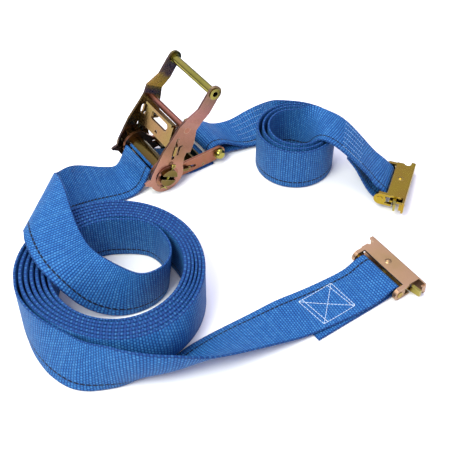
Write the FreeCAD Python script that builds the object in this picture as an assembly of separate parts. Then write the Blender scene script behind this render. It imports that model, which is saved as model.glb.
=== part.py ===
"""Ratchet tie down for logistic track, laid out: ratchet, long strap, short strap, two track fittings."""
import FreeCAD, Part
import math
import os

from FreeCAD import Rotation, Vector

# ---- driving dimensions, mm ----
WEB_W = 50.0            # webbing width
WEB_T = 1.8             # webbing thickness
SHIFT = Vector(-11.2, 128.0, 0)   # spindle axis, measured from the middle of the laid-out set
AXIS_Z = 20.5           # height of the spindle axis
SPINDLE_R = 10.0
SPINDLE_HOLE_R = 10.05
SPINDLE_SLOT = 4.2      # gap between the two half-moon bars
SLOT_TILT = -30.0       # direction of the gap, degrees from +X
SPINDLE_HALF_LEN = 40.5
WHEEL_R = 19.0
WHEEL_ROOT_R = 15.2
TEETH = 12
WHEEL_Y = (29.8, 32.8)
FRAME_Y = (26.2, 29.2)
HANDLE_Y = (33.3, 35.8)
HANDLE_JOG = 2.7        # outward step of the handle arms
HANDLE_REST = 56.0      # handle angle above the frame as laid out
HANDLE_PAWL_ANGLE = 13.0    # pawl slot, measured from the handle's centre line
FRAME_PAWL_ANGLE = -15.0    # pawl slot, measured from +X
PAWL_T = 3.0
PAWL_TIP = 19.35        # pawl tips rest just clear of the tooth crests
BOLT = Vector(70.0, 0, -8.0)    # bolt centre, measured from the spindle axis
BOLT_R = 4.0
SLEEVE_R = 6.0
GRIP = (102.0, -2.5)    # grip centre: along and across the handle
GRIP_R = 4.4
CROSSBAR = (55.5, 5.0)
CROSSBAR_R = 3.5
# coils standing on edge: centre at the start, centre at the end, radius at the start and at the end,
# direction of the start in degrees, turns (left-handed when negative)
LONG_COIL = ((-116.0, -137.0), (-123.0, -136.6), 60.0, 86.5, 70.0, 6.22)
SHORT_COIL = ((135.9, -76.2), (139.3, -74.9), 43.5, 28.5, 35.0, -2.9)
COIL_DIP = (210.0, 42.0, 11.0)    # direction, spread and depth of the pressed-in side of the long coil
# where each track fitting lies: origin, heading, tilt with the hook end raised
FITTINGS = {"long_strap_fitting": ((106.0, -255.5), 0.0, 0.0),
            "short_strap_fitting": ((192.0, -172.5), -54.0, 7.0)}
FIT_HEEL = 36.5         # end of the fitting that stays on the ground when it tilts
FIT_H = 13.4            # overall height of a track fitting
FIT_T = 2.3             # its sheet thickness
FIT_BAR = (-6.5, 6.7)   # strap bar centre: along and up
FIT_BAR_R = 3.2
LATCH_PIVOT = (8.5, 3.0)

X = Vector(1, 0, 0)
Y = Vector(0, 1, 0)
Z = Vector(0, 0, 1)
solids = {}


# ---- helpers ----
def save(name, shape):
    shape = shape.copy()
    shape.translate(SHIFT)
    solids[name] = shape
    shape.exportStep("parts/" + name + ".step")


def cyl_y(r, y0, y1, x=0.0, z=0.0):
    return Part.makeCylinder(r, y1 - y0, Vector(x, y0, z), Y)


def plate_y(points, y0, y1):
    """Flat plate with an XZ outline; a point may be a straight corner or ("arc", middle, end)."""
    edges = []
    at = Vector(points[0][0], y0, points[0][1])
    first = at
    for item in points[1:]:
        if item[0] == "arc":
            mid = Vector(item[1][0], y0, item[1][1])
            end = Vector(item[2][0], y0, item[2][1])
            edges.append(Part.Arc(at, mid, end).toShape())
        else:
            end = Vector(item[0], y0, item[1])
            edges.append(Part.makeLine(at, end))
        at = end
    if (at - first).Length > 1e-6:
        edges.append(Part.makeLine(at, first))
    return Part.Face(Part.Wire(edges)).extrude(Vector(0, y1 - y0, 0))


def polar(r, degrees):
    a = math.radians(degrees)
    return (r * math.cos(a), r * math.sin(a))


def box(x0, x1, y0, y1, z0, z1):
    return Part.makeBox(x1 - x0, y1 - y0, z1 - z0, Vector(x0, y0, z0))


def slot_y(p0, p1, width, y0, y1):
    """Round-ended slot cutter between two XZ points."""
    r = width / 2
    d = Vector(p1[0] - p0[0], 0, p1[1] - p0[1])
    side = d.cross(Y)
    side.normalize()
    side.multiply(r)
    a = [(p0[0] + side.x, p0[1] + side.z), (p1[0] + side.x, p1[1] + side.z),
         (p1[0] - side.x, p1[1] - side.z), (p0[0] - side.x, p0[1] - side.z)]
    body = plate_y(a, y0, y1)
    return body.fuse([cyl_y(r, y0, y1, *p0), cyl_y(r, y0, y1, *p1)]).removeSplitter()


def turn(shape, degrees):
    """Swing about the spindle's Y axis so that +X goes up by the angle, then lift to the axis height."""
    shape = shape.copy()
    shape.rotate(Vector(0, 0, 0), Y, -degrees)
    shape.translate(Vector(0, 0, AXIS_Z))
    return shape


def mirrored(shape):
    return shape.mirror(Vector(0, 0, 0), Y)


def tube_spring(r, wire, x0, x1, y, z, turns):
    """Compression spring along X."""
    pitch = (x1 - x0 - wire) / turns
    helix = Part.makeHelix(pitch, x1 - x0 - wire, r)
    start = Vector(r, 0, 0)
    profile = Part.Wire(Part.makeCircle(wire / 2, start, Vector(0, 1, pitch / (2 * math.pi * r))))
    spring = Part.Wire(helix).makePipeShell([profile], True, True)
    spring.rotate(Vector(0, 0, 0), Y, 90)
    spring.translate(Vector(x0 + wire / 2, y, z))
    return spring


def catmull(points, steps):
    ends = [points[0] * 2 - points[1]] + points + [points[-1] * 2 - points[-2]]
    out = []
    for i in range(len(points) - 1):
        p0, p1, p2, p3 = ends[i:i + 4]
        for j in range(steps):
            t = j / steps
            out.append((p1 * 2 + (p2 - p0) * t + (p0 * 2 - p1 * 5 + p2 * 4 - p3) * (t * t)
                        + (p1 * 3 - p0 - p2 * 3 + p3) * (t * t * t)) * 0.5)
    out.append(points[-1])
    return out


def stations(pairs, steps=3):
    """Smooth centre points and width directions through edge pairs: traced edge first."""
    first = [Vector(*a) for a, b in pairs]
    second = [Vector(*b) for a, b in pairs]
    centres = catmull([(a + b) * 0.5 for a, b in zip(first, second)], steps)
    widths = catmull([b - a for a, b in zip(first, second)], steps)
    out = []
    for i, c in enumerate(centres):
        t = centres[min(i + 1, len(centres) - 1)] - centres[max(i - 1, 0)]
        t.normalize()
        w = widths[i] - t * widths[i].dot(t)
        w.normalize()
        out.append((c, w, t))
    return out


def ribbon(path, width=WEB_W, thickness=WEB_T):
    wires = []
    for c, w, t in path:
        n = t.cross(w)
        n.normalize()
        a = w * (width / 2)
        b = n * (thickness / 2)
        corners = [c - a - b, c + a - b, c + a + b, c - a + b]
        wires.append(Part.makePolygon(corners + corners[:1]))
    return Part.makeLoft(wires, True, True)


def coil_stations(start, end, r0, r1, a0, turns, z=25.6):
    """Spiral standing on edge; the outer turns are pressed in where the front layer leans on them."""
    steps = int(abs(turns) * 24)
    out = []
    for i in range(steps + 1):
        k = i / steps
        a = math.radians(a0 + 360 * turns * k)
        r = r0 + (r1 - r0) * k
        if turns > 0:
            away = (math.degrees(a) - COIL_DIP[0] + 180) % 360 - 180
            r -= COIL_DIP[2] * k * math.exp(-(away / COIL_DIP[1]) ** 2)
        c = Vector(start[0] + (end[0] - start[0]) * k + r * math.cos(a),
                   start[1] + (end[1] - start[1]) * k + r * math.sin(a), z)
        t = Vector(-math.sin(a), math.cos(a), 0) * (1 if turns > 0 else -1)
        out.append((c, Vector(0, 0, 1), t))
    return out


def edge_pair(station):
    c, w, t = station
    a = c - w * (WEB_W / 2)
    b = c + w * (WEB_W / 2)
    return ((a.x, a.y, a.z), (b.x, b.y, b.z))


def placed(point, place):
    """Point of a fitting carried to its place: tilted about its heel, turned and moved."""
    (x, y), heading, tilt = place
    turned = Rotation(X, -tilt).multVec(point - Vector(0, FIT_HEEL, 0)) + Vector(0, FIT_HEEL, 0)
    return Rotation(Z, heading).multVec(turned) + Vector(x, y, 0)


def fold_back(top, near, outer, bottom_end, place, flip, start=0):
    """Top layer, turn round the strap bar and under layer, as local (along, up) points."""
    r = FIT_BAR_R + 0.25 + WEB_T / 2
    x, z = FIT_BAR
    pts = list(top)
    for a in range(start, 181, 30):
        pts.append((x + r * math.sin(math.radians(a)), z + r * math.cos(math.radians(a))))
    pts += list(near) + [bottom_end]
    out = []
    for px, pz in pts:
        half = WEB_W / 2 * flip
        out.append([tuple(placed(Vector(px, outer + side * half, pz), place)) for side in (-1, 1)])
    return out


# ---- ratchet frame ----
def frame_plate():
    hinge = polar(16, 62)
    outline = [hinge, ("arc", (-16, 0), (0, -16)), (70, -15.8), ("arc", (77.8, -8), (70, -0.2)),
               (21, 0), hinge]
    plate = plate_y(outline, *FRAME_Y)
    cuts = [cyl_y(SPINDLE_HOLE_R, 20, 40), cyl_y(BOLT_R + 0.02, 20, 40, BOLT.x, BOLT.z)]
    cuts.append(slot_y(polar(22.0, FRAME_PAWL_ANGLE), polar(39.5, FRAME_PAWL_ANGLE), PAWL_T + 0.8, 20, 40))
    tab = box(50.18, 52.22, 20, 40, -1.52, 1.52)
    tab.rotate(Vector(0, 0, 0), Y, -FRAME_PAWL_ANGLE)
    cuts.append(tab)
    for cut in cuts:
        plate = plate.cut(cut)
    return turn(plate, 0)


def frame_spring_rest():
    """Cross plate whose end tabs stand in the side plates."""
    rest = box(50.2, 52.2, -FRAME_Y[0], FRAME_Y[0], -3.0, 5.5)
    tabs = box(50.2, 52.2, -FRAME_Y[1], FRAME_Y[1], -1.5, 1.5)
    return turn(rest.fuse(tabs).removeSplitter(), FRAME_PAWL_ANGLE)


def frame_bolt():
    shank = cyl_y(BOLT_R, -31.0, 35.6, BOLT.x, BOLT.z)
    washer = cyl_y(6.4, -30.4, -29.2, BOLT.x, BOLT.z)
    dome = Part.makeSphere(6.0, Vector(BOLT.x, -30.4, BOLT.z))
    dome = dome.common(box(BOLT.x - 8, BOLT.x + 8, -35.0, -30.4, BOLT.z - 8, BOLT.z + 8))
    return turn(shank.fuse([washer, dome]).removeSplitter(), 0)


def frame_nut():
    pts = [(BOLT.x + 7.2 * math.cos(math.radians(60 * i)), BOLT.z + 7.2 * math.sin(math.radians(60 * i)))
           for i in range(6)]
    nut = plate_y(pts, FRAME_Y[1], FRAME_Y[1] + 5.2).cut(cyl_y(BOLT_R + 0.01, 20, 40, BOLT.x, BOLT.z))
    return turn(nut, 0)


def bolt_sleeve():
    sleeve = cyl_y(SLEEVE_R, -26.1, 26.1, BOLT.x, BOLT.z)
    return turn(sleeve.cut(cyl_y(BOLT_R + 0.02, -30, 30, BOLT.x, BOLT.z)), 0)


# ---- spindle ----
def half_moon(sign):
    bar = cyl_y(SPINDLE_R, -SPINDLE_HALF_LEN, SPINDLE_HALF_LEN)
    half = box(-20, 20, -50, 50, SPINDLE_SLOT / 2, 20)
    if sign < 0:
        half = half.mirror(Vector(0, 0, 0), Z)
    bar = bar.common(half)
    for side in (-1, 1):
        bar = bar.cut(Part.makeCylinder(1.25, 40, Vector(0, side * 38.3, -20), Z))
    return turn(bar, SLOT_TILT)


def wheel():
    step = 360 / TEETH
    pts = []
    for i in range(TEETH):
        a = FRAME_PAWL_ANGLE - 1.2 + i * step
        # root, steep face that the pawl catches, crest; the long back slopes down to the next root
        pts += [polar(WHEEL_ROOT_R, a - 10.6), polar(WHEEL_ROOT_R, a + 7.2), polar(WHEEL_R, a + 7.6),
                polar(WHEEL_R, a + 11.5)]
    body = plate_y(pts, *WHEEL_Y)
    return turn(body.cut(cyl_y(SPINDLE_R + 0.01, 20, 40)), 0)


def cotter():
    """Split pin through the spindle end: round shank, eye on top, legs bent apart."""
    shank = Part.makeCylinder(1.2, 24.5, Vector(0, 38.3, -12.5), Z)
    eye = Part.makeTorus(2.0, 0.75, Vector(0, 38.3, 13.6), Vector(0, 1, 0))
    legs = []
    for side in (-1, 1):
        legs.append(Part.makeCylinder(0.75, 4.6, Vector(0, 38.3, -12.0), Vector(side, 0, -0.45)))
    return turn(shank.fuse([eye] + legs).removeSplitter(), SLOT_TILT)


def spindle_washer():
    ring = cyl_y(13.2, 35.95, 36.95)
    return turn(ring.cut(cyl_y(SPINDLE_R + 0.02, 30, 40)), 0)


# ---- handle ----
def handle_plate():
    outline = [polar(20, 88), ("arc", polar(20, 102), polar(20, 115)), (-13.5, 22.3), ("arc", (-15.6, 21.4),
               (-15.4, 19.4)), polar(20, 140), ("arc", polar(20, 215), polar(20, 317)), (20, -11.5), (25, -9.6),
               (30.5, -9.6), (31.5, -14.4), (44, -12.2), (58, -6.8), (67, -5.2), (80, -9.6), (98, -10.4),
               ("arc", (109.6, -6), (106.5, 4.2)), (99, 5.4), (81, 6.6), (66, 15.4), (50, 16.6), (25, 20.4)]
    body = plate_y(outline, 30, 42)
    y0, y1 = HANDLE_Y
    jog = [Vector(-30, y0, -40), Vector(58, y0, -40), Vector(66.5, y0 + HANDLE_JOG, -40),
           Vector(120, y0 + HANDLE_JOG, -40), Vector(120, y1 + HANDLE_JOG, -40),
           Vector(65.9, y1 + HANDLE_JOG, -40), Vector(57.4, y1, -40), Vector(-30, y1, -40)]
    sheet = Part.Face(Part.makePolygon(jog + jog[:1])).extrude(Vector(0, 0, 80))
    plate = body.common(sheet)
    a = HANDLE_PAWL_ANGLE
    # spindle, grip and crossbar holes, pawl slot, bent key slot
    cuts = [cyl_y(SPINDLE_HOLE_R, 20, 50), cyl_y(GRIP_R, 20, 50, *GRIP),
            cyl_y(CROSSBAR_R, 20, 50, *CROSSBAR),
            slot_y(polar(22.0, a), polar(44.5, a), PAWL_T + 0.7, 20, 50),
            slot_y((26.5, 1.0), (35.5, 3.6), 2.4, 20, 50), slot_y((35.5, 3.6), (37.0, 1.4), 2.4, 20, 50)]
    for cut in cuts:
        plate = plate.cut(cut)
    return turn(plate, HANDLE_REST)


def handle_grip():
    end = HANDLE_Y[1] + HANDLE_JOG
    tube = cyl_y(GRIP_R, -end - 1.2, end + 1.2, *GRIP)
    parts = []
    for side in (-1, 1):
        inner = HANDLE_Y[0] + HANDLE_JOG
        y0 = end if side > 0 else -end - 1.4
        parts.append(cyl_y(6.2, y0, y0 + 1.4, *GRIP))
        y0 = inner - 1.6 if side > 0 else -inner
        parts.append(cyl_y(5.4, y0, y0 + 1.6, *GRIP))
    tube = tube.fuse(parts).removeSplitter()
    return turn(tube.cut(cyl_y(2.9, -50, 50, *GRIP)), HANDLE_REST)


def handle_crossbar():
    end = HANDLE_Y[1]
    bar = cyl_y(CROSSBAR_R, -end, end, *CROSSBAR)
    heads = []
    for side in (-1, 1):
        dome = Part.makeSphere(6.4, Vector(CROSSBAR[0], side * (end - 4.4), CROSSBAR[1]))
        lo, hi = (end, end + 2.0) if side > 0 else (-end - 2.0, -end)
        heads.append(dome.common(box(40, 70, lo, hi, -10, 20)))
    return turn(bar.fuse(heads).removeSplitter(), HANDLE_REST)


# ---- pawls: along their own radial line, plate normal up ----
def pawl_ears(tail, guide_end):
    ears = []
    h = PAWL_T / 2
    for side in (-1, 1):
        inner, outer = 24.0, WHEEL_Y[1]
        guide = box(25.0, tail, inner, guide_end, -h, h)
        neck = box(21.2, 30.0, 29.5, outer, -h, h)
        tooth = box(PAWL_TIP, 22.0, 29.75, outer, -h, h)
        ear = guide.fuse([neck, tooth]).removeSplitter()
        ears.append(ear if side > 0 else mirrored(ear))
    return ears


def handle_pawl():
    h = PAWL_T / 2
    body = box(27.0, 54.0, -24.5, 24.5, -h, h)
    lip = box(52.5, 55.0, -24.5, 24.5, -h, 4.5)
    body = body.fuse([lip] + pawl_ears(36.0, 36.6)).removeSplitter()
    window = box(40.6, 49.5, -15, 15, -5, 5)
    corner_r = 3.0
    edges = [e for e in window.Edges if abs(e.Vertexes[0].Z - e.Vertexes[1].Z) > 5]
    window = window.makeFillet(corner_r, edges)
    hole = Part.Face(Part.makePolygon([Vector(31, -3.2, -5), Vector(31, 3.2, -5), Vector(35, 0, -5),
                                       Vector(31, -3.2, -5)])).extrude(Vector(0, 0, 10))
    body = body.cut(window).cut(hole)
    tabs = []
    for side in (-1, 1):
        y0 = 19.7 * side - 3.2
        tabs.append(box(38.6, 40.1, y0, y0 + 6.4, -10.6, 0))
        tabs.append(Part.makeCylinder(1.5, 4.5, Vector(38.8, side * 19.7, -7.6), Vector(1, 0, 0)))
    body = body.fuse(tabs).removeSplitter()
    return turn(body, HANDLE_REST + HANDLE_PAWL_ANGLE)


def handle_pawl_springs():
    a = math.radians(HANDLE_PAWL_ANGLE)
    stop = CROSSBAR[0] * math.cos(a) + CROSSBAR[1] * math.sin(a) - CROSSBAR_R
    springs = [tube_spring(2.5, 0.8, 40.3, stop - 0.2, y, -7.6, 6) for y in (-19.7, 19.7)]
    return turn(Part.makeCompound(springs), HANDLE_REST + HANDLE_PAWL_ANGLE)


def frame_pawl():
    h = PAWL_T / 2
    body = box(23.5, 41.0, -24.5, 24.5, -h, h)
    lip = box(39.0, 41.0, -24.5, 24.5, -h, 7.0)
    stud = Part.makeCylinder(1.3, 4.0, Vector(41.0, 0, 0), Vector(1, 0, 0))
    ears = pawl_ears(34.0, FRAME_Y[1] + 0.9)
    body = body.fuse([lip, stud] + ears).removeSplitter()
    notch = box(20, 29, -12, 12, -5, 5)
    return turn(body.cut(notch), FRAME_PAWL_ANGLE)


def frame_pawl_spring():
    return turn(tube_spring(1.9, 0.7, 41.2, 50.0, 0, 0, 6), FRAME_PAWL_ANGLE)


# ---- webbing ----
def strap_feed():
    """Long strap from the spindle along the ground, over itself in a soft fold and down into the coil."""
    pairs = [((-13.2, -25, 26.8), (-13.2, 25, 26.8)), ((-17.6, -25, 19), (-17.6, 25, 19)),
             ((-22, -25, 11), (-22, 25, 11)), ((-30, -25, 4.2), (-30, 25, 4.2)),
             ((-45, -24, 1.8), (-47, 24, 13)), ((-81, -23, 10), (-72, 22, 30)),
             ((-118, -41, 25), (-113, 2, 51)), ((-135, -37, 26), (-115, -9, 64)),
             ((-148, -34, 35), (-115, -26, 71)), ((-159, -39, 51), (-115, -46, 71)),
             ((-175, -80, 56.5), (-127, -74, 62)), ((-177, -105, 56.5), (-127, -97, 57)),
             ((-171.5, -129, 49), (-124.5, -114, 52)), ((-155, -141, 20), (-117, -132, 50)),
             ((-130, -153, 2), (-109, -147, 48)), ((-106, -160, 0.8), (-101, -161, 50.6)),
             ((-83, -157.5, 0.7), (-80, -162, 50.6)), ((-67.5, -144.5, 0.7), (-64.5, -148.5, 50.6)),
             ((-61, -124, 0.7), (-60, -125, 50.6)), ((-67, -102, 0.7), (-67, -102, 50.6))]
    coil = coil_stations(*LONG_COIL)
    pairs += [edge_pair(coil[0])]
    return ribbon(stations(pairs)[:-1] + [coil[0]])


def strap_front():
    """Outer turn leaving the coil, rolling over to lie flat and reaching the track fitting."""
    coil = coil_stations(*LONG_COIL)
    pairs = [edge_pair(coil[-1]), ((-203.8, -111.4, 0.7), (-203.2, -111.6, 50.6)),
             ((-208, -130.5, 0.7), (-204.3, -131, 50.6)), ((-210.8, -151, 0.7), (-199.6, -151.7, 49.3)),
             ((-209.5, -174.3, 0.7), (-189.5, -170.4, 46.3)), ((-202.5, -194.8, 0.7), (-182, -187.5, 45.8)),
             ((-191.7, -207.2, 0.7), (-174, -199.5, 46.6)), ((-177.9, -214.8, 0.7), (-166, -210.5, 49)),
             ((-162.1, -220.5, 0.7), (-157.5, -223, 50.3)), ((-141.7, -221.8, 0.7), (-141.1, -237, 48)),
             ((-122.9, -221.8, 0.7), (-122.6, -247, 43)), ((-107, -220.5, 0.7), (-107.3, -254, 37)),
             ((-91.3, -218.7, 0.7), (-92.9, -258.5, 30.5)), ((-72.1, -218.7, 0.8), (-74.6, -262.4, 24.5)),
             ((-53, -219.5, 1.1), (-56.6, -265.7, 19.7)), ((-27.1, -221.4, 2.2), (-31, -269.8, 13.2)),
             ((0.5, -223.3, 3.7), (-3.5, -273.1, 5.6)), ((30, -227, 3.2), (29, -277, 3.4)),
             ((58, -230, 3.9), (57, -280, 3.9))]
    top = [(-28, 4.8), (-15, 9.8)]
    near = [(-14, 2.8), (-26, 1.3), (-48, 1.2)]
    pairs += fold_back(top, near, -0.5, (-99, 1.2), FITTINGS["long_strap_fitting"], -1)
    return ribbon([coil[-1]] + stations(pairs)[1:])


def strap_tail():
    pairs = [((11.2, -25, 13.4), (11.2, 25, 13.4)), ((15.8, -25, 8.4), (15.8, 25, 8.4)),
             ((21.5, -25.4, 4.2), (21.5, 24.6, 4.2)), ((29, -27.5, 2.2), (29, 22.5, 2.2)),
             ((40, -29.3, 1.4), (40, 20.7, 1.4)), ((63, -29.7, 1.2), (63, 20.3, 1.2))]
    return ribbon(stations(pairs))


def strap_in_spindle():
    web = box(-9.9, 9.9, -25, 25, -WEB_T / 2, WEB_T / 2)
    return turn(web, SLOT_TILT)


def short_lead():
    """Loop round the frame bolt, sewn layer and lead to the short coil."""
    x, z = BOLT.x, BOLT.z + AXIS_Z
    r = SLEEVE_R + 0.25 + WEB_T / 2
    pairs = [((108, -31, 3.2), (108, 19, 1.3)), ((96, -29.5, 5.4), (96, 20.3, 2.2)),
             ((84, -26, 5.2), (84, 24, 3.6))]
    for a in range(-90, -271, -30):
        px = x + r * math.cos(math.radians(a))
        pz = z + r * math.sin(math.radians(a))
        pairs.append(((px, -25, pz), (px, 25, pz)))
    pairs += [((82, -26, 18), (82, 24, 15.5)), ((96, -29.5, 10.4), (96, 20.3, 7.4)),
              ((109, -33, 4.5), (116, 15, 7)), ((120, -33.5, 2.4), (133, 13, 10)),
              ((132, -32.5, 3.4), (146.5, 8, 25)), ((141, -32, 2.4), (146, -19, 50)),
              ((149, -34, 1.2), (149.5, -32.4, 51)), ((157.5, -37.5, 0.7), (158, -37, 50.5))]
    coil = coil_stations(*SHORT_COIL)
    pairs.append(edge_pair(coil[0]))
    return ribbon(stations(pairs)[:-1] + [coil[0]])


def short_end():
    """Inner turn of the short coil crossing its wall and running down to the track fitting."""
    coil = coil_stations(*SHORT_COIL)
    pairs = [edge_pair(coil[-1]), ((154, -55, 1.2), (155, -55, 51.2)), ((152, -73, 9), (162, -61, 56)),
             ((148, -89, 21), (168.5, -63, 58)), ((143, -100, 41), (174.5, -70, 56)),
             ((143, -111, 53.5), (178.5, -78, 54)), ((148, -127, 54), (184, -93, 53.5)),
             ((158, -144, 42), (192, -108, 43)), ((166, -164, 29), (202, -131, 24))]
    place = FITTINGS["short_strap_fitting"]
    top = [(-15.5, 18.5)]
    pairs += fold_back(top, [], 1.0, (-14, 3.0), place, 1, 30)
    pairs += [((163.2, -167.7, 14.5), (201.6, -135.7, 9)), ((162.4, -158.5, 21), (198.4, -125.5, 17.5)),
              ((160.1, -149.8, 32), (195.1, -114.8, 30)), ((155.7, -140.2, 41.5), (189.7, -104.2, 42.5))]
    return ribbon([coil[-1]] + stations(pairs)[1:])


# ---- track fittings, built facing +X ----
def put(shape, place):
    (x, y), heading, tilt = place
    shape = shape.copy()
    shape.rotate(Vector(0, FIT_HEEL, 0), X, -tilt)
    shape.rotate(Vector(0, 0, 0), Z, heading)
    shape.translate(Vector(x, y, 0))
    return shape


def fitting_body():
    """Folded sheet channel joined by the web on the track side, with strap ears and hook ends."""
    outer = 19.5
    top = box(0, outer, -31, 32, FIT_H - FIT_T, FIT_H)
    horn = box(14.5, outer, 31, 36.5, FIT_H - FIT_T, FIT_H)
    base = box(3.0, outer, -24, 31, 0.3, 0.3 + FIT_T)
    web = box(outer - FIT_T, outer, -38.5, 36.5, 0.3, FIT_H)
    hook = box(outer - 5.2, outer, -38.5, -36.4, 3.0, FIT_H)
    body = top.fuse([horn, base, web, hook])
    for side in (-1, 1):
        y0 = 27.0 if side > 0 else -31.0
        ear = box(-8.5, 6.0, y0, y0 + 4.0, FIT_H - FIT_T, FIT_H)
        cheek = cyl_y(6.4, y0, y0 + 4.0, *FIT_BAR)
        foot = box(-6.5, 6.0, y0, y0 + 4.0, 0.3, 0.3 + FIT_T)
        body = body.fuse([ear, cheek, foot])
    body = body.cut(cyl_y(FIT_BAR_R, -40, 40, *FIT_BAR))
    body = body.cut(box(4.5, outer - FIT_T, -40, -30.0, FIT_H - FIT_T - 0.1, FIT_H + 1))
    body = body.cut(Part.makeCylinder(3.4, 6, Vector(11.0, 32.6, 9), Z))
    body = body.cut(Part.makeCylinder(2.02, 20, Vector(LATCH_PIVOT[0], LATCH_PIVOT[1], -1), Z))
    body = body.removeSplitter()
    rounded = [e for e in body.Edges if len(e.Vertexes) == 2
               and abs(e.Vertexes[0].X - outer) < 1e-4 and abs(e.Vertexes[1].X - outer) < 1e-4
               and abs(e.Vertexes[0].Z - FIT_H) < 1e-4 and abs(e.Vertexes[1].Z - FIT_H) < 1e-4]
    try:
        return body.makeFillet(1.6, rounded)
    except Part.OCCError:
        return body


def fitting_bar():
    return cyl_y(FIT_BAR_R, -31.6, 31.6, *FIT_BAR)


def latch():
    """Flat arm on the pivot rivet, ending in an angled tongue that stands out of the body's end."""
    px, py = LATCH_PIVOT
    pts = [(px - 3.4, py), (px - 3.4, -20), (px - 1.5, -31), (9.0, -41.0), (11.2, -41.0), (px + 1.8, -30),
           (px + 3.4, -19), (px + 3.4, py)]
    face = Part.Face(Part.makePolygon([Vector(x, y, 3.0) for x, y in pts + pts[:1]]))
    arm = face.extrude(Vector(0, 0, 2.0))
    head = Part.makeCylinder(5.0, 2.0, Vector(px, py, 3.0), Z)
    tongue = [(px - 1.5, -31), (9.0, -41.0), (11.2, -41.0), (px + 1.8, -30)]
    lift = Part.Face(Part.makePolygon([Vector(x, y, 3.0) for x, y in tongue + tongue[:1]]))
    body = arm.fuse([head, lift.extrude(Vector(0, 0, 7.6))]).removeSplitter()
    return body.cut(Part.makeCylinder(2.05, 20, Vector(px, py, -1), Z))


def latch_rivet():
    px, py = LATCH_PIVOT
    shank = Part.makeCylinder(2.0, FIT_H - 0.3, Vector(px, py, 0.3), Z)
    dome = Part.makeSphere(5.0, Vector(px, py, FIT_H - 3.7))
    head = dome.common(box(px - 5, px + 5, py - 5, py + 5, FIT_H, FIT_H + 2))
    return shank.fuse(head).removeSplitter()


def latch_spring():
    return tube_spring(1.6, 0.6, 12.1, 17.0, -16.0, 6.2, 4)


def main():
    os.makedirs("parts", exist_ok=True)
    plate = frame_plate()
    save("frame_plate_left", plate)
    save("frame_plate_right", mirrored(plate))
    save("frame_bolt", frame_bolt())
    save("frame_bolt_nut", frame_nut())
    save("frame_bolt_sleeve", bolt_sleeve())
    save("frame_spring_rest", frame_spring_rest())
    save("frame_pawl", frame_pawl())
    save("frame_pawl_spring", frame_pawl_spring())
    save("spindle_bar_upper", half_moon(1))
    save("spindle_bar_lower", half_moon(-1))
    gear = wheel()
    save("ratchet_wheel_left", gear)
    save("ratchet_wheel_right", mirrored(gear))
    pin = cotter()
    save("spindle_cotter_pins", Part.makeCompound([pin, mirrored(pin)]))
    ring = spindle_washer()
    save("spindle_washers", Part.makeCompound([ring, mirrored(ring)]))
    arm = handle_plate()
    save("handle_plate_left", arm)
    save("handle_plate_right", mirrored(arm))
    save("handle_grip", handle_grip())
    save("handle_crossbar", handle_crossbar())
    save("handle_pawl", handle_pawl())
    save("handle_pawl_springs", handle_pawl_springs())
    save("long_strap_feed", strap_feed())
    save("long_strap_coil", ribbon(coil_stations(*LONG_COIL)))
    save("long_strap_front", strap_front())
    save("long_strap_tail", strap_tail())
    save("long_strap_in_spindle", strap_in_spindle())
    save("short_strap_lead", short_lead())
    save("short_strap_coil", ribbon(coil_stations(*SHORT_COIL)))
    save("short_strap_end", short_end())
    for name, place in FITTINGS.items():
        save(name, put(fitting_body(), place))
        save(name + "_strap_bar", put(fitting_bar(), place))
        save(name + "_latch", put(latch(), place))
        save(name + "_latch_rivet", put(latch_rivet(), place))
        save(name + "_latch_spring", put(latch_spring(), place))


main()
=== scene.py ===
import math
from collections import namedtuple

import bmesh
import bpy
import numpy as np
from mathutils import Matrix, Vector


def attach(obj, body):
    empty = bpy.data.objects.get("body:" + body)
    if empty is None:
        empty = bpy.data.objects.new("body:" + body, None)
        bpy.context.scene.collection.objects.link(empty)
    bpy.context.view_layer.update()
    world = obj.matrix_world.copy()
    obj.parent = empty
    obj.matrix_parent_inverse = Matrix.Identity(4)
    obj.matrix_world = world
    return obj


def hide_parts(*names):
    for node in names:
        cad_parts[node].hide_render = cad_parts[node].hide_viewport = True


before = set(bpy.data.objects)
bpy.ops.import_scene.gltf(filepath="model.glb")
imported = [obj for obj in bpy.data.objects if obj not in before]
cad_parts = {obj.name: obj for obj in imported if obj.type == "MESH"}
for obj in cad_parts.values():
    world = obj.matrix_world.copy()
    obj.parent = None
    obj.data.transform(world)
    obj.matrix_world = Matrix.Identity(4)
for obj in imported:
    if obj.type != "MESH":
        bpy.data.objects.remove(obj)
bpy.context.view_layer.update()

# ---- sizes: mm, with the spindle's middle over the origin and the ground at z = 0 ----
MM = 0.001
SHIFT = Vector((-11.2, 128.0, 0.0))     # spindle, measured from the middle of the laid-out set

# webbing
WEB_W = 50.0                # width
WEB_T = 2.3                 # thickness
STEP = 2.2                  # spacing of the cross-sections along a strap
RIB = 2.5                   # length of one weave cell along the strap
COLUMN = 2.78               # width of one weave cell
TRACER = 7.6                # tracer line, measured from the traced edge
STRAP_GAP = 0.25            # between a bar and the strap that turns round it
EASE_IN = 25.0              # length over which the relaxing of a soft fold fades in
RELAX_PASSES = 16
LEAN_PASSES = 40            # smoothing of the weave where the strap is folded aslant

# ratchet
SPINDLE_AXIS = Vector((0.0, 0.0, 20.5))
SLOT_TILT = -30.0           # direction of the spindle's slot, degrees from +X
SLOT_HALF = 9.9             # half the length of strap inside the slot
BOLT = Vector((70.0, 0.0, 12.5))
SLEEVE_R = 6.0
HANDLE_LEAN = math.radians(56)
HANDLE_DIRECTION = Vector((math.cos(HANDLE_LEAN), 0, math.sin(HANDLE_LEAN)))
HANDLE_LENGTH = 107.0       # spindle to grip

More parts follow.
